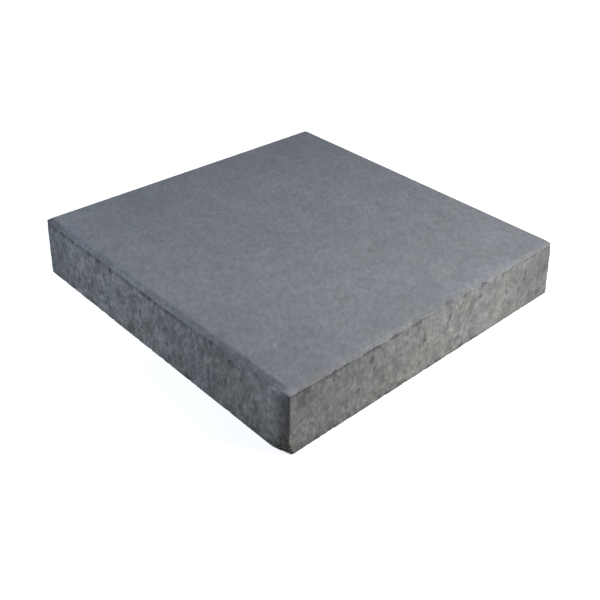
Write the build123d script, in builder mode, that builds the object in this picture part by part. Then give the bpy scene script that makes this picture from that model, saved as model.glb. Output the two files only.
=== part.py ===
from build123d import *
from math import atan2, degrees
import os

# Concrete paving slab, pressed in one piece: a square flag with a bevelled face, sides that lean in
# from the base so that the mould lifts off, rounded upright corners and one knocked lower corner.
# Millimetres, +Z up, origin at the centre of the base; the slab lies flat with its face up.

# Body
base_side = 298.0  # square outline at the base, the widest level: a 300 mm module less its joint
thickness = 50.0  # from the base to the face
side_draft = 2.6  # how far each side leans in between the base and the face
corner_radius = 6.0  # rounding of each upright corner

# Edges
bevel_width = 3.6  # bevel round the face, measured across the face
bevel_depth = 2.5  # the same bevel, measured down the side
base_arris = 0.8  # narrow bevel on the lower edge

# Knocked corner, where the front (-Y) and right (+X) sides meet at the base
knock_along_front = 13.0  # reach of the break along the front side's lower edge
knock_along_right = 5.5  # reach along the right side's lower edge
knock_height = 14.0  # reach up the corner

draft_angle = degrees(atan2(side_draft, thickness))
half_side = base_side / 2
half_thickness = thickness / 2


def knock_plane():
    """Plane of the break, facing the slab's middle, through its three reaches from the corner."""
    on_front_edge = Vector(half_side - knock_along_front, -half_side, 0)
    on_right_edge = Vector(half_side, -half_side + knock_along_right, 0)
    up_the_corner = Vector(half_side, -half_side, knock_height)
    along_base = on_right_edge - on_front_edge
    inward = (up_the_corner - on_front_edge).cross(along_base)
    return Plane(origin=on_front_edge, x_dir=along_base, z_dir=inward)


with BuildPart() as slab:
    with BuildSketch():
        Rectangle(base_side, base_side)
    extrude(amount=thickness, taper=draft_angle)

    upright_corners = slab.edges().group_by(lambda edge: abs(edge.center().Z - half_thickness))[0]
    fillet(upright_corners, corner_radius)

    base = slab.faces().sort_by(Axis.Z)[0]
    chamfer(base.edges(), base_arris)

    face = slab.faces().sort_by(Axis.Z)[-1]
    chamfer(face.edges(), bevel_width, bevel_depth, reference=face)

    split(bisect_by=knock_plane(), keep=Keep.TOP)

slab.part.label = "slab"
os.makedirs("parts", exist_ok=True)
export_step(slab.part, "parts/slab.step")
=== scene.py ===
"""Concrete paving slab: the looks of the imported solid, as one dense mesh with pressed-concrete relief.

Metres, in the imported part's frame: origin at the centre of the base, +Z up, front side at -Y.
"""
import math

import bpy
import numpy as np
from mathutils import Matrix, Vector, noise


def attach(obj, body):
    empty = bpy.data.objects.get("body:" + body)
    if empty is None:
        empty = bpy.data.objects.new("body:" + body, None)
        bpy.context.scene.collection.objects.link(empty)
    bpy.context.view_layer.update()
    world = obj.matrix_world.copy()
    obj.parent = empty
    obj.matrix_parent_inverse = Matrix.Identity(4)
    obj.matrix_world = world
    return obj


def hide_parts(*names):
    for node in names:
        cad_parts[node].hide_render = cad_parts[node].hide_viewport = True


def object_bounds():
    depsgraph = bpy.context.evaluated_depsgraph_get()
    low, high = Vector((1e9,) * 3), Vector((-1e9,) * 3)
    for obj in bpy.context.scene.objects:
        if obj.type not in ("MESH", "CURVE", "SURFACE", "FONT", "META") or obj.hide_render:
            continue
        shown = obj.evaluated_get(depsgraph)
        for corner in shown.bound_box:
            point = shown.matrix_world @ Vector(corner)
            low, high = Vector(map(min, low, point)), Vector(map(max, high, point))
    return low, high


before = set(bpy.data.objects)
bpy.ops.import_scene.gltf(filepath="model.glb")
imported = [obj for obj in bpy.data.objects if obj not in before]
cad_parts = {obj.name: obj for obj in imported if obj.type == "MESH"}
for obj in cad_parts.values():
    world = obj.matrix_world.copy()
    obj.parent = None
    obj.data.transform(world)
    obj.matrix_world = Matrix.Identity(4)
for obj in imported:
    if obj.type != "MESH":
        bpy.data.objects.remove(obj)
cad_low, cad_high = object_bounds()
random_seed = 20
rng = np.random.default_rng(random_seed)

# Form of the slab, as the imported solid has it
thickness = cad_high.z - cad_low.z
side_draft = 0.0026
bevel_width = 0.0036
bevel_depth = 0.0025
base_arris = 0.0008
lean = side_draft / thickness
half_base = cad_high.x + lean * base_arris
bevel_foot = thickness - bevel_depth

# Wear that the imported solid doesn't have
worn_arris = 0.0003  # the little of the lower edge's bevel that shows
knock_along_front = 0.0145  # the break as worn, a little askew of the solid's
knock_along_right = 0.0046
knock_height = 0.0140
knock_rim = 0.0005  # rounding of the break's rim
bevel_crown = 0.00006  # how far the bevel's middle stands out, which softens its edges
front_foot_drop = 0.0011  # the front's bevel reaches a little lower, but for its right end
right_foot_rise = 0.0009  # and the right side's not quite as low
front_edge_back = 0.0009  # the front's bevel also reaches further over the face towards its right end

# Rounding of the upright corners, uneven as cast and worn: how far each reaches along the side before it
# and the side after it, at the base and at the face, and how far round it turns before its arris, in the
# order front right, back right, back left, front left
base_legs = np.array([(0.0100, 0.0015), (0.0018, 0.0018), (0.0060, 0.0060), (0.0078, 0.0078)])
face_legs = np.array([(0.0090, 0.0009), (0.0042, 0.0042), (0.0060, 0.0060), (0.0009, 0.0009)])
top_wear = np.array([0.0, 0.0016, 0.0, 0.0])  # how much further they are rounded just under the bevel
top_wear_start = 0.036  # height at which that begins
corner_turns = np.radians([28, 90, 90, 90])
least_leg = 0.0003

# Relief: the grain of each kind of unevenness, and how deep it goes
streak_grain = 0.0032
streak_depth = 0.00018
lump_grain = 0.0080
lump_depth = 0.00026
sweep_grain = 0.0450
sweep_depth = 0.00020
fine_grain = 0.0030  # on the bevel
fine_depth = 0.00016
wobble_grain = 0.0090  # of the right bevel's foot and the line of earth
tear_grain = 0.0014  # of the torn outlines of hollows and bites
tear_swing = 0.8  # how far those outlines wander, in half sizes
carve_slope = (0.3, 1.1)  # where a hollow starts to shallow and where it ends, in half sizes
carve_reach = 1.6  # past which nothing is cut, in half sizes
groove_depth = 0.0007
groove_wander = 0.0004
base_depth = 0.0002
knock_roughness = 0.0002

# Random hollows up the sides, bites out of the bevel's foot and chips off the lower edge: how many on each
# side, between which levels, and their ranges of half width, half height and depth
hollow_count = 70
hollow_levels = (0.003, bevel_foot - 0.002)
hollow_sizes = ((0.0006, 0.0015), (0.0009, 0.0030), (0.0002, 0.0008))
bite_counts = (3, 34, 40, 40)  # front, right, back and left: the front is cleaner
bite_levels = (bevel_foot - 0.0015, bevel_foot + 0.0006)
bite_sizes = ((0.0008, 0.0026), (0.0006, 0.0013), (0.0003, 0.0008))
chip_count = 34
chip_levels = (0.0, 0.0008)
chip_sizes = ((0.0010, 0.0030), (0.0007, 0.0016), (0.0001, 0.0004))

# The bites and hollows that show most: side, along it, level, half width, half height and depth
seen_bites = (
    (0, 0.071, 0.0460, 0.0042, 0.0016, 0.0007),
    (0, 0.092, 0.0414, 0.0060, 0.0026, 0.0006),
    (0, 0.068, 0.0189, 0.0026, 0.0038, 0.0004),
    (0, 0.086, 0.0230, 0.0046, 0.0028, 0.0004),
    (0, 0.061, 0.0297, 0.0020, 0.0072, 0.0004),
    (0, 0.107, 0.0065, 0.0030, 0.0024, 0.0004),
    (0, -0.053, 0.0435, 0.0040, 0.0030, 0.0004),
    (0, -0.064, 0.0174, 0.0042, 0.0036, 0.0005),
    (0, -0.057, 0.0163, 0.0022, 0.0038, 0.0005),
    (0, -0.079, 0.0232, 0.0020, 0.0054, 0.0004),
    (0, -0.023, 0.0077, 0.0024, 0.0030, 0.0006),
    (0, -0.013, 0.0268, 0.0026, 0.0034, 0.0004),
    (0, -0.010, 0.0430, 0.0036, 0.0026, 0.0004),
    (0, -0.111, 0.0022, 0.0030, 0.0016, 0.0005),
    (1, -0.136, 0.0472, 0.0060, 0.0016, 0.0007),
    (1, -0.111, 0.0456, 0.0090, 0.0030, 0.0006),
    (1, -0.097, 0.0468, 0.0060, 0.0016, 0.0009),
    (1, -0.071, 0.0464, 0.0130, 0.0026, 0.0010),
    (1, -0.071, 0.0385, 0.0022, 0.0036, 0.0009),
    (1, -0.048, 0.0472, 0.0050, 0.0024, 0.0009),
    (1, -0.034, 0.0099, 0.0026, 0.0022, 0.0008),
    (1, -0.024, 0.0472, 0.0070, 0.0024, 0.0011),
    (1, -0.015, 0.0295, 0.0018, 0.0070, 0.0009),
    (1, 0.011, 0.0488, 0.0050, 0.0022, 0.0008),
    (1, 0.030, 0.0472, 0.0022, 0.0024, 0.0010),
    (1, 0.052, 0.0476, 0.0028, 0.0024, 0.0010),
    (1, 0.050, 0.0371, 0.0034, 0.0020, 0.0010),
    (1, 0.044, 0.0359, 0.0018, 0.0018, 0.0008),
    (1, 0.014, 0.0365, 0.0016, 0.0036, 0.0007),
    (1, 0.025, 0.0110, 0.0040, 0.0034, 0.0010),
    (1, 0.041, 0.0202, 0.0018, 0.0018, 0.0007),
    (1, 0.086, 0.0263, 0.0022, 0.0034, 0.0010),
    (1, 0.110, 0.0323, 0.0022, 0.0072, 0.0008),
    (1, 0.133, 0.0073, 0.0044, 0.0022, 0.0007),
    (1, -0.060, 0.0020, 0.0030, 0.0016, 0.0005),
    (1, -0.040, 0.0022, 0.0024, 0.0016, 0.0005),
    (1, 0.044, 0.0020, 0.0034, 0.0014, 0.0005),
)

# The patches of earth along the lower edge that show most: side, along it, half length and height
seen_earth = (
    (0, -0.1100, 0.0035, 0.0090),
    (0, -0.0860, 0.0105, 0.0070),
    (0, -0.0420, 0.0025, 0.0065),
    (0, -0.0255, 0.0042, 0.0095),
    (0, 0.0420, 0.0085, 0.0055),
    (0, 0.1165, 0.0030, 0.0065),
    (0, 0.1310, 0.0080, 0.0050),
    (1, -0.1225, 0.0035, 0.0070),
    (1, -0.1070, 0.0055, 0.0085),
    (1, -0.0920, 0.0022, 0.0070),
    (1, -0.0855, 0.0027, 0.0080),
    (1, -0.0615, 0.0028, 0.0070),
    (1, -0.0525, 0.0045, 0.0058),
    (1, -0.0370, 0.0052, 0.0046),
    (1, -0.0070, 0.0026, 0.0060),
    (1, 0.0030, 0.0050, 0.0055),
    (1, 0.0300, 0.0040, 0.0052),
    (1, 0.0495, 0.0035, 0.0056),
)

# Small marks on the face: place, reach and the factor on its tone
face_marks = (
    ((0.0067, -0.0490), 0.0030, 1.10),
    ((0.0067, -0.0490), 0.0013, 0.45),
    ((0.1018, -0.1187), 0.0016, 1.45),
    ((0.1190, -0.1045), 0.0022, 0.80),
    ((0.0057, 0.0277), 0.0018, 0.70),
    ((-0.0618, -0.0940), 0.0140, 0.95),
    ((0.0160, -0.0002), 0.0130, 0.95),
)

# Places of the face where dark specks gather, and how far they reach
pitted_places = (
    ((-0.0640, -0.0900), 0.0200),
    ((0.0120, 0.0020), 0.0180),
    ((0.1270, 0.0400), 0.0160),
)

# Colours, as they are under white light
face_colour = (0.177, 0.183, 0.1945, 1.0)
warm_side_colour = (0.196, 0.195, 0.1905, 1.0)
cool_side_colour = (0.190, 0.193, 0.1965, 1.0)
# Dark of hollows, bites and grooves: partly dirt in them, partly painted shade
hollow_dirt_and_shade_colour = (0.050, 0.052, 0.054, 1.0)
earth_colour = (0.024, 0.0235, 0.0165, 1.0)
floor_colour = (0.55, 0.55, 0.55, 1.0)
sky_colour = (0.220, 0.220, 0.220, 1.0)
white = (1.0, 1.0, 1.0, 1.0)

# Mesh density
side_cells = 288  # along each side
corner_cells = 10  # round each corner
coarse_rows = 42  # up the side to the fine rows
fine_rows = 8  # in the last stretch under the bevel
fine_reach = 0.0040
bevel_rows = 5
face_grid = side_cells // 2
base_grid = side_cells // 4
face_rim = 0.0006  # ring just inside the face's edge, which keeps that edge crisp
face_margin = 0.0018  # from the rings to the square grids that fill them
base_margin = 0.0045

# Camera of the photograph, fitted to the slab's outline
camera_azimuth = math.radians(45.248)
camera_elevation = math.radians(34.190)
camera_roll = math.radians(2.550)
camera_distance = 0.72115
camera_aim = (0.002174, -0.016290)
camera_lens = 51.018
camera_near_clip = 0.01


def smooth(low, high, value):
    """0 below low and 1 above high, with an even rise between."""
    share = np.clip((value - low) / (high - low), 0, 1)
    return share * share * (3 - 2 * share)


def bell(value, centre, spread):
    """1 at the centre, fading to either side."""
    return np.exp(-((value - centre) / spread) ** 2)


# Plain form of the slab

def ring(half, trim, height):
    """Points once round a rounded square, counter-clockwise from the front side's left end."""
    stretches = []
    legs = base_legs + (face_legs - base_legs) * height / thickness
    legs = legs + top_wear[:, None] * smooth(top_wear_start, bevel_foot, height)
    legs = np.maximum(legs - trim, least_leg)
    for number in range(4):
        along_leg, across_leg = legs[number]
        angle = np.linspace(0, corner_turns[number], corner_cells, endpoint=False)
        out = np.sin(angle) / math.sin(corner_turns[number])
        back = (1 - np.cos(angle)) / (1 - math.cos(corner_turns[number]))
        straight = np.linspace(legs[number - 1][1] - half, half - along_leg, side_cells, endpoint=False)
        along = np.concatenate([straight, half - along_leg + along_leg * out])
        across = np.concatenate([np.full(side_cells, -half), -half + across_leg * back])
        turn = number * math.pi / 2
        x = along * math.cos(turn) - across * math.sin(turn)
        y = along * math.sin(turn) + across * math.cos(turn)
        stretches.append(np.column_stack([x, y, np.full(len(x), height)]))
    return np.concatenate(stretches)


def section():
    """(inset from the base outline, height) of each ring, from the base to just inside the face's edge."""
    steps = [(worn_arris, 0.0)]
    fine_start = bevel_foot - fine_reach
    coarse = np.linspace(worn_arris, fine_start, coarse_rows, endpoint=False)
    fine = np.linspace(fine_start, bevel_foot, fine_rows + 1)
    for height in np.concatenate([coarse, fine]):
        steps.append((lean * height, height))
    face_inset = side_draft + bevel_width
    foot_inset = lean * bevel_foot
    run = face_inset - foot_inset
    slope = math.hypot(run, bevel_depth)
    for share in np.arange(1, bevel_rows + 1) / bevel_rows:
        crown = bevel_crown * math.sin(math.pi * share)
        inset = foot_inset + run * share - crown * bevel_depth / slope
        steps.append((inset, bevel_foot + bevel_depth * share + crown * run / slope))
    steps.append((face_inset + face_rim, thickness))
    return steps


def grid_points(half, cells, height):
    """Points of a square grid, row by row from the front."""
    line = np.linspace(-half, half, cells + 1)
    across, along = np.meshgrid(line, line)
    return np.column_stack([across.ravel(), along.ravel(), np.full(across.size, height)])


def stitch(outer, inner):
    """Triangles between a run of outer points and the run of fewer inner points beside it."""
    ratio = (len(outer) - 1) // (len(inner) - 1)
    middle = ratio // 2
    faces = []
    for cell in range(len(inner) - 1):
        first = cell * ratio
        for step in range(ratio):
            near = inner[cell] if step < middle else inner[cell + 1]
            faces.append((outer[first + step], outer[first + step + 1], near))
        faces.append((inner[cell], outer[first + middle], inner[cell + 1]))
    return faces


def cap(ring_start, grid_start, cells):
    """Faces that fill a ring with a square grid of points, looking up."""
    def at(column, row):
        return grid_start + row * (cells + 1) + column

    faces = []
    for row in range(cells):
        for column in range(cells):
            lower = (at(column, row), at(column + 1, row))
            upper = (at(column + 1, row + 1), at(column, row + 1))
            faces.append(lower + upper)
    span = range(cells + 1)
    edges = [
        [at(step, 0) for step in span],
        [at(cells, step) for step in span],
        [at(cells - step, cells) for step in span],
        [at(0, cells - step) for step in span],
    ]
    quarter = side_cells + corner_cells
    for number, inner in enumerate(edges):
        run = [ring_start + (number * quarter + step) % (4 * quarter) for step in range(quarter + 1)]
        faces += stitch(run[:side_cells + 1], inner)
        turn = run[side_cells:]
        faces += [(first, second, inner[-1]) for first, second in zip(turn, turn[1:])]
    return faces


def plain_slab():
    """Points and faces of the slab before any relief."""
    steps = section()
    points = [ring(half_base - inset, inset - lean * height, height) for inset, height in steps]
    around = len(points[0])
    faces = []
    for row in range(len(steps) - 1):
        low = row * around
        high = low + around
        for step in range(around):
            after = (step + 1) % around
            faces.append((low + step, low + after, high + after, high + step))
    count = len(steps) * around
    points.append(grid_points(half_base - steps[-1][0] - face_margin, face_grid, thickness))
    faces += cap(count - around, count, face_grid)
    count += len(points[-1])
    points.append(grid_points(half_base - steps[0][0] - base_margin, base_grid, 0.0))
    faces += [face[::-1] for face in cap(0, count, base_grid)]
    return np.concatenate(points), faces


# Relief

def field(points, grain, tall=1.0, octaves=2, shift=0.0):
    """Smooth noise of about -1 to 1 in lumps of that grain, drawn out upwards tall times.

    The shift sets one field apart from another.
    """
    scaled = points / (grain, grain, grain * tall) + shift
    return np.array([noise.fractal(Vector(place), 1.0, 2.0, octaves) for place in scaled])


def side_place(side, along, height):
    """A place on one side: 0 front, 1 right, 2 back, 3 left."""
    out = half_base - lean * height
    turn = side * math.pi / 2
    x = along * math.cos(turn) + out * math.sin(turn)
    y = along * math.sin(turn) - out * math.cos(turn)
    return np.array([x, y, height])


def carve(total, place, half_width, half_height, deep):
    """Cuts one torn hollow into the depths."""
    near = np.abs(points - place).max(axis=1) < carve_reach * max(half_width, half_height)
    gap = (points[near] - place) / (half_width, half_width, half_height)
    distance = np.linalg.norm(gap, axis=1) + tear_swing * tears[near]
    total[near] = np.maximum(total[near], deep * (1 - smooth(*carve_slope, distance)))


def carve_many(total, side, count, levels, sizes):
    """Cuts hollows at random places between two levels of a side, of random sizes in the given ranges."""
    widths, heights, depths = sizes
    for _ in range(count):
        place = side_place(side, rng.uniform(-half_base, half_base), rng.uniform(*levels))
        carve(total, place, rng.uniform(*widths), rng.uniform(*heights), rng.uniform(*depths))


def outside_knock(points):
    """How far each point stands outside the break at the knocked corner, and the break's way out."""
    on_front = np.array([half_base - knock_along_front, -half_base, 0.0])
    on_right = np.array([half_base, -half_base + knock_along_right, 0.0])
    up_corner = np.array([half_base, -half_base, knock_height])
    outward = np.cross(on_right - on_front, up_corner - on_front)
    outward /= np.linalg.norm(outward)
    return (points - on_front) @ outward, outward


def foot_shift(points):
    """How far up each point moves: the bevel's foot is lower on the front and higher on the right."""
    x, y, height = points.T
    turn = 0.003  # half of the stretch over which one side's shift gives way to the next side's
    toward_front = smooth(-turn, turn, -y - np.abs(x))
    toward_right = smooth(-turn, turn, x - np.abs(y))
    below = (height - bevel_foot) / fine_reach + 1
    above = (thickness - height) / bevel_depth
    share = np.clip(np.minimum(below, above), 0, 1)
    rise = right_foot_rise * (1 + 0.5 * wobble)
    drop = front_foot_drop * (1 - 1.7 * smooth(0.118, 0.140, x))
    return share * (rise * toward_right - drop * toward_front)


def edge_shift(points):
    """How far back each point moves: the front's bevel is wider towards its right end."""
    x, y, height = points.T
    share = np.clip((height - bevel_foot) / bevel_depth, 0, 1) * smooth(0.1290, 0.1425, -y)
    return front_edge_back * share * smooth(0.030, 0.070, x)


def front_groove():
    """Groove under the front's bevel: broad and clear, and fading towards its right end."""
    level = height + groove_wander * lumps
    strength = smooth(0.0415, 0.0442, level) * (1 - smooth(0.0456, 0.0466, level))
    strength *= np.clip(0.8 + 0.35 * streaks + 0.3 * lumps, 0.2, 1.2)
    strength *= 1 - 0.75 * smooth(0.035, 0.085, x)
    return strength * (1 - 0.30 * smooth(-0.070, -0.045, x))


def thin_groove():
    """Patchy thin groove under the bevel of the other sides, weaker on the right one."""
    level = plain_height + groove_wander * lumps
    strength = smooth(bevel_foot - 0.0025, bevel_foot - 0.0013, level)
    strength *= 1 - smooth(bevel_foot - 0.0009, bevel_foot, plain_height)
    strength *= np.clip(0.4 + 0.6 * lumps, 0, 1)
    return strength * (1 - faces_right * (0.30 + 0.30 * smooth(0.0, 0.050, y)))


points, faces = plain_slab()
plain_height = points[:, 2].copy()  # height before the bevel's foot moves
wobble = field(points, wobble_grain, octaves=2, shift=13.0)
points[:, 1] += edge_shift(points)
points[:, 2] += foot_shift(points)
mesh = bpy.data.meshes.new("slab_concrete")
mesh.from_pydata(points.tolist(), [], faces)
mesh.update()
normals = np.array([normal.vector for normal in mesh.vertex_normals])
x, y, height = points.T
level_run = np.linalg.norm(normals[:, :2], axis=1) + 1e-9  # never zero
faces_front = smooth(0.75, 0.97, -normals[:, 1] / level_run)
faces_right = smooth(0.75, 0.97, normals[:, 0] / level_run)

# Where each kind of surface is, with soft borders
hair = 0.0001  # heights closer than this count as the same
on_side = (0.1 + 0.9 * smooth(worn_arris, 0.0035, plain_height)) * (plain_height > hair)
on_side *= 1 - smooth(bevel_foot - 0.0009, bevel_foot, plain_height)
on_bevel = smooth(bevel_foot - 2 * hair, bevel_foot, plain_height)
on_bevel *= 1 - smooth(thickness - 2 * hair, thickness, plain_height)
on_face = plain_height > thickness - hair

# Rough sides: short drawn-up streaks, lumps and a broad sweep
streaks = field(points, streak_grain, tall=1.2, octaves=2)
lumps = field(points, lump_grain, octaves=2, shift=31.0)
sweep = field(points, sweep_grain, octaves=1, shift=57.0)
depth = on_side * (streak_depth * streaks + lump_depth * lumps + sweep_depth * sweep)

# Torn hollows, bites and chips
tears = field(points, tear_grain, tall=1.3, octaves=1, shift=101.0)
hollows = np.zeros(len(points))
bites = np.zeros(len(points))
for side, bite_count in enumerate(bite_counts):
    carve_many(hollows, side, hollow_count, hollow_levels, hollow_sizes)
    carve_many(bites, side, bite_count, bite_levels, bite_sizes)
for side in range(4):
    carve_many(bites, side, chip_count, chip_levels, chip_sizes)
for side, along, level, half_width, half_height, deep in seen_bites:
    carve(bites, side_place(side, along, level), half_width, half_height, deep)
hollows *= 1 - 0.5 * faces_front  # shallower on the front
depth += np.maximum(on_side * hollows, bites)

# Groove under the bevel
groove = faces_front * front_groove() + (1 - faces_front) * thin_groove()
depth += groove_depth * groove

# Fine unevenness of the bevel and the base
depth += on_bevel * fine_depth * field(points, fine_grain, octaves=2, shift=83.0)
depth += (height < hair) * base_depth * (1 + np.clip(lumps, -1, 1))

points = points - normals * depth[:, None]

# The knocked corner, broken back to a rough face with a worn rim
outside, outward = outside_knock(points)
push = knock_rim * np.logaddexp(0, (outside + knock_roughness * streaks) / knock_rim - 0.5)
points = points - outward * push[:, None]

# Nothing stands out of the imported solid's box
points[:, :2] = np.clip(points[:, :2], -cad_high.x, cad_high.x)
points[:, 2] = np.clip(points[:, 2], 0.0, thickness)

mesh.vertices.foreach_set("co", points.astype(np.float32).ravel())
mesh.update()
mesh.shade_smooth()


# Earth, tones with painted shade and highlights, and texture, as numbers that the mesh keeps for the
# material

def store(name, values):
    """Keeps a number per vertex for the material."""
    mesh.attributes.new(name, "FLOAT", "POINT").data.foreach_set("value", values.astype(np.float32))


def earth_line():
    """Thin uneven line of earth along the lower edge."""
    line = 1 - smooth(0.0004, 0.0032, height + 0.0038 * lumps + 0.0010 * streaks)
    return (height < 0.02) * line * np.clip(0.65 - 0.7 * wobble, 0.2, 1.3)


def earth_patches():
    """The patches of earth along the lower edge that show most."""
    patches = np.zeros(len(points))
    level = height + 0.0020 * lumps + 0.0010 * streaks
    for side, along, half_length, tall in seen_earth:
        place = side_place(side, along, 0.0)
        length_share = np.hypot(x - place[0], y - place[1]) / half_length
        patch = (1 - smooth(0.5, 1.3, length_share)) * (1 - smooth(0.4, 1.0, level / tall))
        patches = np.maximum(patches, patch)
    return patches


def earth_in_knock():
    """Earth in the break at the knocked corner, and on the front just over it."""
    inside = smooth(-0.0022, 0.0002, outside + 0.0006 * lumps) * (1 - smooth(0.014, 0.020, height))
    inside *= smooth(0.1340, 0.1395, x + 0.0010 * lumps)
    away = np.hypot((x - 0.1440) / 0.0062, (height - 0.0095) / 0.0098)
    over = (1 - smooth(0.5, 1.0, away + 0.2 * streaks)) * (normals[:, 1] < -0.5) * (y < -0.1)
    return np.maximum(inside, over)


def earth_beside_knock():
    """Thinner earth on the right side, beside the break."""
    away = np.hypot((y + 0.1465) / 0.0065, (height - 0.0070) / 0.0080)
    return (1 - smooth(0.4, 1.0, away + 0.3 * streaks)) * faces_right * (y < -0.1)


def front_tones():
    """Lighter and darker stretches of the front, as changes to a tone of 1."""
    pale_middle = 0.06 * bell(x, -0.045, 0.060)
    dark_left_end = 0.30 * smooth(0.085, 0.132, -x)
    pale_right_end = 0.08 * bell(x, 0.116, 0.018)
    dark_low_right = 0.08 * lower_half * smooth(0.050, 0.080, x)
    return pale_middle + pale_right_end - dark_left_end - dark_low_right


def right_tones():
    """Lighter and darker stretches of the right side, as changes to a tone of 1; its darker back end is
    painted shade.
    """
    pale_middle = 0.09 * bell(y, 0.020, 0.070) + 0.04 * bell(y, 0.000, 0.020)
    dark_near_end = 0.05 * smooth(0.100, 0.135, -y)
    # Painted shade towards the rounded back corner
    back_end_painted_shade = 0.10 * smooth(0.100, 0.135, y) + 0.05 * smooth(0.090, 0.115, y)
    top_back_painted_shade = 0.07 * smooth(0.028, 0.036, height) * smooth(0.133, 0.141, y)
    lower_tones = 0.05 + 0.16 * bell(y, 0.078, 0.022) + 0.05 * smooth(0.095, 0.115, y)
    upper_tones = 0.07 * bell(y, 0.080, 0.018) - 0.06 * bell(y, 0.036, 0.022)
    dark_patch = 0.24 * smooth(-0.1420, -0.1395, y + 0.0006 * lumps) * (1 - smooth(-0.134, -0.120, y))
    dark_patch *= smooth(0.031, 0.038, height) * np.clip(1 + 0.6 * streaks, 0.3, 1.7)
    pale_arris = 0.04 * (1 - smooth(-0.1420, -0.1405, y))
    dark_all_over = 0.07
    pale = pale_middle + lower_half * lower_tones + (1 - lower_half) * upper_tones + pale_arris
    return pale - dark_all_over - dark_near_end - back_end_painted_shade - top_back_painted_shade - dark_patch


def front_corner_painted_shade():
    """Painted shade on the front in the strip beside its right corner, where little light falls; less of it
    under the earth.
    """
    start = 0.1310 + 0.6 * np.maximum(height - 0.040, 0)
    strip = smooth(start, 0.1448, x + 0.0014 * lumps + 0.0006 * streaks) * (normals[:, 1] < -0.5)
    strip *= smooth(0.0, 0.0008, half_base - lean * height - x)
    return strip * (0.48 + 0.10 * smooth(0.034, 0.046, height) - 0.24 * knock_earth)


def front_bevel_tones():
    """Lighter and darker stretches of the front's bevel; its darker right end is painted shade."""
    low = 1 - smooth(bevel_foot, thickness, plain_height)
    middle = smooth(-0.075, -0.050, x) * (1 - smooth(0.085, 0.120, x))
    pale = (0.04 + 0.10 * low) * middle + 0.14 * low * bell(x, -0.042, 0.024)
    dark_left_end = 0.37 * smooth(0.090, 0.132, -x)
    # Painted shade on the right end of the front's bevel
    dark_right_end = 0.13 * smooth(0.045, 0.075, x) + 0.10 * bell(x, 0.1340, 0.0060)
    return pale - dark_left_end - dark_right_end


def right_bevel_tones():
    """Painted highlight along the right side's bevel, strongest over its near half and in two patches, and
    darker at its ends.
    """
    near_half_painted_highlight = 0.07 * smooth(0.0, 0.030, -y) + 0.11 * smooth(0.020, 0.050, -y)
    painted_highlight_patches = 0.06 * bell(y, -0.040, 0.022) + 0.07 * bell(y, 0.080, 0.025)
    dark_ends = 0.05 * bell(y, -0.132, 0.016) + 0.06 * smooth(0.095, 0.120, y)
    return near_half_painted_highlight + painted_highlight_patches - dark_ends


def face_tones():
    """Lighter and darker parts of the face, with a painted highlight along its right edge."""
    pale_near_part = 0.06 * bell(x, 0.060, 0.070) * bell(y, -0.060, 0.080)
    pale_front_part = 0.09 * bell(x, -0.020, 0.070) * bell(y, -0.142, 0.040)
    # Painted highlight along the face's edge by the right bevel
    right_edge_painted_highlight = 0.08 * smooth(0.1365, 0.1425, x) * (1 - smooth(0.085, 0.105, y))
    dark_left_part = 0.12 * smooth(0.050, 0.140, -x) * smooth(-0.140, -0.090, y)
    dark_back_corner = 0.05 * bell(x, 0.150, 0.050) * bell(y, 0.150, 0.090)
    dark_right_end = 0.06 * smooth(0.120, 0.138, x) * smooth(0.080, 0.110, y)
    dark_front_end = 0.06 * smooth(0.1385, 0.1425, -y) * smooth(0.090, 0.120, -x)
    pale = pale_near_part + pale_front_part + right_edge_painted_highlight
    return pale - dark_left_part - dark_back_corner - dark_right_end - dark_front_end


def broad_tones():
    """The tone of each place, about 1, before the fine texture, with painted shade and highlights among it.
    """
    pale_sliver = 0.95 * faces_front * bell(x, 0.1320, 0.0042)
    pale_sliver *= bell(height - 0.12 * (x - 0.1320), 0.0467, 0.0008)
    # Painted highlight where the bevels meet at the near corner
    near_corner_painted_highlight = 0.25 * smooth(0.1380, 0.1412, x) * smooth(0.1380, 0.1412, -y)
    dark_left_corner = 0.33 * smooth(0.1385, 0.1435, -x) * smooth(0.1380, 0.1420, -y)
    dark_left_corner *= smooth(0.036, 0.046, height)
    tone = 1 + on_side * (faces_front * front_tones() + faces_right * right_tones()) + pale_sliver
    # Painted shade beside the front's right corner
    tone *= 1 - on_side * front_corner_painted_shade()
    tone += on_bevel * (faces_front * front_bevel_tones() + faces_right * right_bevel_tones())
    tone += on_bevel * near_corner_painted_highlight
    tone *= 1 - dark_left_corner
    return tone + on_face * face_tones()


def side_share():
    """Where the side's rough texture shows: it runs up over the bevel at the bites and along the front."""
    back_climb = 0.0012 * faces_right * smooth(-0.040, 0.020, y) * np.clip(streaks + lumps, 0, 1)
    climb = bites + 0.0005 * lumps + back_climb
    below_bevel = 1 - smooth(bevel_foot, bevel_foot + 0.0006, plain_height - climb)
    front_bevel = on_bevel * faces_front * (0.50 + 0.20 * smooth(0.040, 0.075, x))
    return np.maximum(smooth(0.0, 0.0003, plain_height) * below_bevel, front_bevel)


lower_half = 1 - smooth(0.018, 0.030, height)
knock_earth = earth_in_knock()
soil = np.maximum(0.35 * earth_line(), 0.70 * earth_patches()) + knock_earth + 0.4 * earth_beside_knock()
full_hollow = 0.0018  # depth at which a hollow is as dark as it gets
full_bite = 0.0010
store("side", side_share())
# How far hollows, bites and grooves are darkened: partly dirt, partly painted shade
store("dirt_and_shade_in_hollows", np.clip(hollows / full_hollow + bites / full_bite + groove, 0, 1))
store("soil", np.clip(soil, 0, 1))
store("tone", broad_tones())

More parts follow.
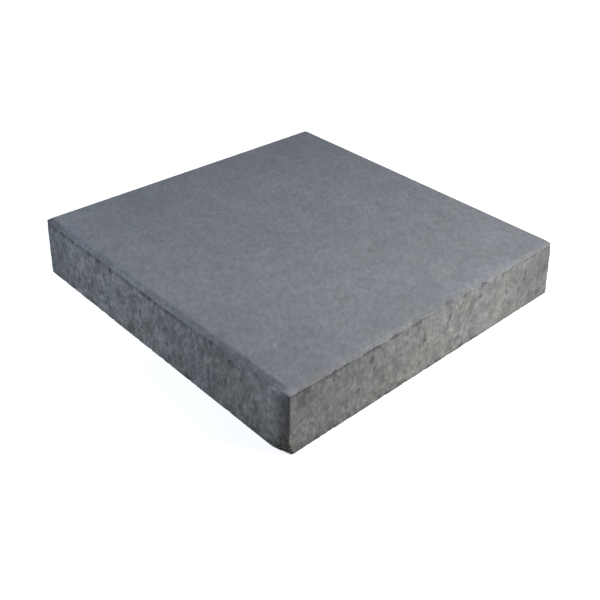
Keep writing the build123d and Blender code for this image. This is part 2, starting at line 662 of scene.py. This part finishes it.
# How drawn out upwards the texture is, and how strong its fine and broad parts are
to_right_end = faces_front * smooth(-0.030, 0.050, x)
to_back_end = faces_right * smooth(-0.020, 0.040, y)
beside_arris = faces_right * bell(y, -0.138, 0.028)
livelier = 0.10 * to_right_end + 0.14 * beside_arris
calmer = 0.18 * faces_right + 0.18 * to_back_end
store("stretch", 0.94 - 0.28 * to_right_end - 0.06 * faces_right)
store("contrast", 1.0 + livelier - calmer)
store("blotches", 1.20 - 0.06 * to_right_end - 0.36 * faces_right + 0.18 * to_back_end)

slab = bpy.data.objects.new("slab_concrete", mesh)
bpy.context.scene.collection.objects.link(slab)


# Materials

class Nodes:
    """Makes and links the shader nodes of one material or world."""

    def __init__(self, owner):
        owner.use_nodes = True
        self.tree = owner.node_tree
        self.tree.nodes.clear()

    def add(self, kind, settings=None, **inputs):
        """A node with its settings, and its inputs set to a value or linked to another node's output."""
        made = self.tree.nodes.new("ShaderNode" + kind)
        for name, value in (settings or {}).items():
            setattr(made, name, value)
        for name, value in inputs.items():
            key = int(name[1:]) if name[0] == "_" else name.replace("_", " ")
            if isinstance(value, bpy.types.NodeSocket):
                self.tree.links.new(value, made.inputs[key])
            else:
                made.inputs[key].default_value = value
        return made

    def calculate(self, operation, first, second):
        return self.add("Math", {"operation": operation}, _0=first, _1=second).outputs[0]

    def product(self, *factors):
        total = factors[0]
        for other in factors[1:]:
            total = self.calculate("MULTIPLY", total, other)
        return total

    def mix_values(self, share, first, second):
        return self.add("Mix", {"data_type": "FLOAT"}, _0=share, _2=first, _3=second).outputs[0]

    def mix_colours(self, share, first, second):
        return self.add("Mix", {"data_type": "RGBA"}, _0=share, _6=first, _7=second).outputs[2]

    def multiply_colours(self, first, second):
        return self.add("VectorMath", {"operation": "MULTIPLY"}, _0=first, _1=second).outputs[0]

    def ramp(self, value, start, end, first, last):
        """The first number up to the start, the last from the end on, and in proportion between."""
        made = self.add("MapRange", Value=value, From_Min=start, From_Max=end, To_Min=first, To_Max=last)
        return made.outputs[0]

    def stored(self, name):
        """A number that the mesh keeps per vertex."""
        return self.add("Attribute", {"attribute_name": name}).outputs["Fac"]

    def noise_of(self, vector, size, detail=2.0, waver=0.0):
        """Noise about one half, in lumps of about that size."""
        made = self.add("TexNoise", Vector=vector, Scale=1 / size, Detail=detail, Distortion=waver)
        made.inputs["Roughness"].default_value = 0.6
        return made.outputs["Fac"]

    def factor(self, value, swing):
        """Noise about one half, as a factor about one."""
        return self.ramp(value, 0.2, 0.8, 1 - swing, 1 + swing)

    def cells(self, vector, size):
        """Cells of about that size: the distance from each one's middle, and a random number for each."""
        made = self.add("TexVoronoi", Vector=vector, Scale=1 / size)
        pick = self.add("SeparateColor", _0=made.outputs["Color"]).outputs[0]
        return made.outputs["Distance"], pick

    def specks(self, vector, size, reach, share, strength):
        """Factor for sparse round specks: that share of the cells has one, of that reach in cells."""
        distance, pick = self.cells(vector, size)
        near = self.ramp(distance, 0.5 * reach, reach, 1.0, 0.0)
        chosen = self.calculate("MULTIPLY", near, self.calculate("LESS_THAN", pick, share))
        return self.ramp(chosen, 0.0, 1.0, 1.0, strength)

    def mark(self, vector, spot, reach, strength):
        """Factor for one spot on the face."""
        centre = (*spot, thickness)
        gap = self.add("VectorMath", {"operation": "DISTANCE"}, _0=vector, _1=centre).outputs["Value"]
        return self.ramp(gap, 0.4 * reach, reach, strength, 1.0)


def face_texture(nodes, place, cloud):
    """Tone of the pressed face: mottling drawn out one way, a few marks, and specks in pitted places."""
    turned = nodes.add("Mapping", Vector=place, Rotation=(0.0, 0.0, math.radians(-45))).outputs["Vector"]
    swept = nodes.add("Mapping", Vector=turned, Scale=(1.0, 0.56, 1.0)).outputs["Vector"]
    fine = nodes.factor(nodes.noise_of(swept, size=0.0013), swing=0.10)
    mottle = nodes.factor(nodes.noise_of(swept, size=0.0034), swing=0.18)
    patch = nodes.factor(nodes.noise_of(place, size=0.0140), swing=0.09)
    tone = nodes.product(fine, mottle, patch, nodes.factor(cloud, swing=0.07))
    tone = nodes.product(tone, *[nodes.mark(place, *mark) for mark in face_marks])
    sound = nodes.product(*[nodes.mark(place, spot, reach, 0.0) for spot, reach in pitted_places])
    pitting = nodes.ramp(sound, 0.0, 1.0, 0.82, 1.0)
    pits = nodes.specks(place, size=0.0036, reach=0.32, share=0.5, strength=pitting)
    return nodes.product(tone, pits)


def side_texture(nodes, drawn, streak, cloud):
    """Tone of the rough sides: grit, streaks, pits and flakes, and broad blotches."""
    grit_swing = 0.09
    _, pick = nodes.cells(drawn, size=0.0026)
    grit = nodes.ramp(pick, 0.0, 1.0, 1 - grit_swing, 1 + grit_swing)
    pits = nodes.ramp(nodes.noise_of(drawn, size=0.0046, detail=3.0), 0.58, 0.63, 1.0, 0.82)
    flakes = nodes.ramp(nodes.noise_of(drawn, size=0.0037, waver=0.4), 0.60, 0.65, 1.0, 1.26)
    tone = nodes.product(grit, nodes.factor(streak, swing=0.31), pits, flakes)
    blotch = nodes.factor(nodes.noise_of(drawn, size=0.0085), swing=0.38)
    broad = nodes.product(blotch, nodes.factor(cloud, swing=0.12))
    tone = nodes.calculate("POWER", tone, nodes.stored("contrast"))
    return nodes.product(tone, nodes.calculate("POWER", broad, nodes.stored("blotches")))


def base_colour(nodes, place, side, upward):
    """Colour of face and sides before their tone, a little uneven, and yellower towards the base."""
    tint = nodes.ramp(nodes.noise_of(place, size=0.0260, detail=1.0), 0.35, 0.65, 0.0, 1.0)
    side_colour = nodes.mix_colours(tint, warm_side_colour, cool_side_colour)
    colour = nodes.mix_colours(side, face_colour, side_colour)
    hue_size = 0.0150
    swing = (0.10, 0.10, 0.10)
    least = (0.95, 0.95, 0.95)
    hues = nodes.add("TexNoise", Vector=place, Scale=1 / hue_size, Detail=2.0).outputs["Color"]
    hues = nodes.add("VectorMath", {"operation": "MULTIPLY_ADD"}, _0=hues, _1=swing, _2=least).outputs[0]
    blue_at_base = 0.955
    blue = nodes.ramp(upward, 0.0, thickness, blue_at_base, 1.0)
    yellowed = nodes.add("CombineXYZ", X=1.0, Y=1.0, Z=blue).outputs["Vector"]
    return nodes.multiply_colours(nodes.multiply_colours(colour, hues), yellowed)


def concrete():
    """Grey concrete: a fine pressed face, rough streaked sides, hollows darkened by dirt and painted shade,
    and earth along the base.
    """
    material = bpy.data.materials.new("pressed_concrete")
    nodes = Nodes(material)
    place = nodes.add("TexCoord").outputs["Object"]
    parts = nodes.add("SeparateXYZ", Vector=place).outputs
    drawn_up = nodes.calculate("MULTIPLY", parts["Z"], nodes.stored("stretch"))
    drawn = nodes.add("CombineXYZ", X=parts["X"], Y=parts["Y"], Z=drawn_up).outputs["Vector"]
    side = nodes.stored("side")
    grain = nodes.noise_of(place, size=0.0014)
    streak = nodes.noise_of(drawn, size=0.0036, detail=1.0, waver=0.4)
    cloud = nodes.noise_of(place, size=0.0450)

    face_tone = face_texture(nodes, place, cloud)
    side_tone = side_texture(nodes, drawn, streak, cloud)
    tone = nodes.product(nodes.mix_values(side, face_tone, side_tone), nodes.stored("tone"))
    pale_specks = nodes.specks(place, size=0.0040, reach=0.22, share=0.35, strength=1.16)
    dark_specks = nodes.specks(place, size=0.0047, reach=0.22, share=0.35, strength=0.80)
    tone = nodes.product(tone, pale_specks, dark_specks)
    colour = base_colour(nodes, place, side, parts["Z"])
    colour = nodes.add("VectorMath", {"operation": "SCALE"}, Vector=colour, Scale=tone).outputs[0]
    # Hollows, bites and grooves darkened: partly dirt, partly painted shade
    darkest_dirt_and_shade = 0.65
    dirt_and_shade_share = nodes.calculate("MULTIPLY", nodes.stored("dirt_and_shade_in_hollows"), darkest_dirt_and_shade)
    colour = nodes.mix_colours(dirt_and_shade_share, colour, hollow_dirt_and_shade_colour)
    clods = nodes.ramp(nodes.noise_of(place, size=0.0019, detail=1.0), 0.43, 0.57, 0.25, 1.0)
    earth_share = nodes.calculate("MULTIPLY", nodes.stored("soil"), clods)
    colour = nodes.mix_colours(earth_share, colour, earth_colour)

    relief = nodes.mix_values(side, grain, nodes.calculate("ADD", grain, streak))
    bump = nodes.add("Bump", Strength=0.42, Distance=0.0006, Height=relief).outputs["Normal"]
    shader = nodes.add("BsdfPrincipled", Base_Color=colour, Roughness=0.9, Normal=bump)
    shader.inputs["Specular IOR Level"].default_value = 0.25
    nodes.add("OutputMaterial", Surface=shader.outputs[0])
    return material


def seen_directly(nodes):
    """1 for what the camera sees, straight or in a gloss or glass, and 0 for light that falls on things."""
    path = nodes.add("LightPath")
    seen = nodes.calculate("MAXIMUM", path.outputs["Is Camera Ray"], path.outputs["Is Glossy Ray"])
    return nodes.calculate("MAXIMUM", seen, path.outputs["Is Transmission Ray"])


def pale_floor():
    """A floor that shows white where it lies open, and keeps the slab's shadow."""
    material = bpy.data.materials.new("pale_floor")
    nodes = Nodes(material)
    matt = nodes.add("BsdfDiffuse", Color=floor_colour)
    place = nodes.add("TexCoord").outputs["Object"]
    away = nodes.add("VectorMath", {"operation": "LENGTH"}, _0=place).outputs["Value"]
    least_glow = 0.76  # beside the slab, where the lamps light the floor as well
    level = nodes.ramp(away, 0.25, 0.80, least_glow, 1.0)
    glow = nodes.add("Emission", Strength=nodes.calculate("MULTIPLY", seen_directly(nodes), level))
    both = nodes.add("AddShader", _0=matt.outputs[0], _1=glow.outputs[0])
    nodes.add("OutputMaterial", Surface=both.outputs[0])
    return material


mesh.materials.append(concrete())
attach(slab, "root")
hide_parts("slab")


# Stage: floor, light and camera

def make_floor(reach):
    corners = [(-reach, -reach, 0), (reach, -reach, 0), (reach, reach, 0), (-reach, reach, 0)]
    flat = bpy.data.meshes.new("floor")
    flat.from_pydata(corners, [], [(0, 1, 2, 3)])
    flat.materials.append(pale_floor())
    floor = bpy.data.objects.new("floor", flat)
    bpy.context.scene.collection.objects.link(floor)


def make_sky():
    """An even soft light from all round, which shows white where the camera looks past the floor."""
    world = bpy.data.worlds.new("soft_sky")
    nodes = Nodes(world)
    light = nodes.add("Background", Color=sky_colour)
    backdrop = nodes.add("Background", Color=white)
    both = nodes.add("MixShader", _0=seen_directly(nodes), _1=light.outputs[0], _2=backdrop.outputs[0])
    nodes.add("OutputWorld", Surface=both.outputs[0])
    bpy.context.scene.world = world


def make_lamp(name, place, size, power, colour):
    """A square soft lamp that faces the slab and doesn't show itself."""
    data = bpy.data.lights.new(name, "AREA")
    data.shape = "SQUARE"
    data.size = size
    data.energy = power
    data.color = colour
    lamp = bpy.data.objects.new(name, data)
    lamp.location = place
    lamp.rotation_euler = (-Vector(place)).to_track_quat("-Z", "Y").to_euler()
    lamp.visible_camera = False
    bpy.context.scene.collection.objects.link(lamp)


def make_camera():
    """The photograph's camera: it looks along its azimuth and elevation, moved sideways by its aim."""
    back = Vector((
        math.sin(camera_azimuth) * math.cos(camera_elevation),
        -math.cos(camera_azimuth) * math.cos(camera_elevation),
        math.sin(camera_elevation),
    ))
    level = Vector((math.cos(camera_azimuth), math.sin(camera_azimuth), 0))
    upright = back.cross(level)
    right = math.cos(camera_roll) * level + math.sin(camera_roll) * upright
    up = math.cos(camera_roll) * upright - math.sin(camera_roll) * level
    data = bpy.data.cameras.new("camera")
    data.lens = camera_lens
    data.clip_start = camera_near_clip
    camera = bpy.data.objects.new("camera", data)
    place = right * camera_aim[0] + up * camera_aim[1] + back * camera_distance
    camera.matrix_world = Matrix.Translation(place) @ Matrix((right, up, back)).transposed().to_4x4()
    bpy.context.scene.collection.objects.link(camera)
    bpy.context.scene.camera = camera


make_floor(reach=6.0)
make_sky()
make_lamp("key", place=(0.434, 0.165, 0.384), size=0.20, power=3.10, colour=(1.0, 1.0, 1.0))
make_lamp("fill", place=(-0.980, -0.477, 0.401), size=0.35, power=12.3, colour=(0.66, 0.784, 1.0))
make_camera()
bpy.context.scene.view_settings.view_transform = "Standard"
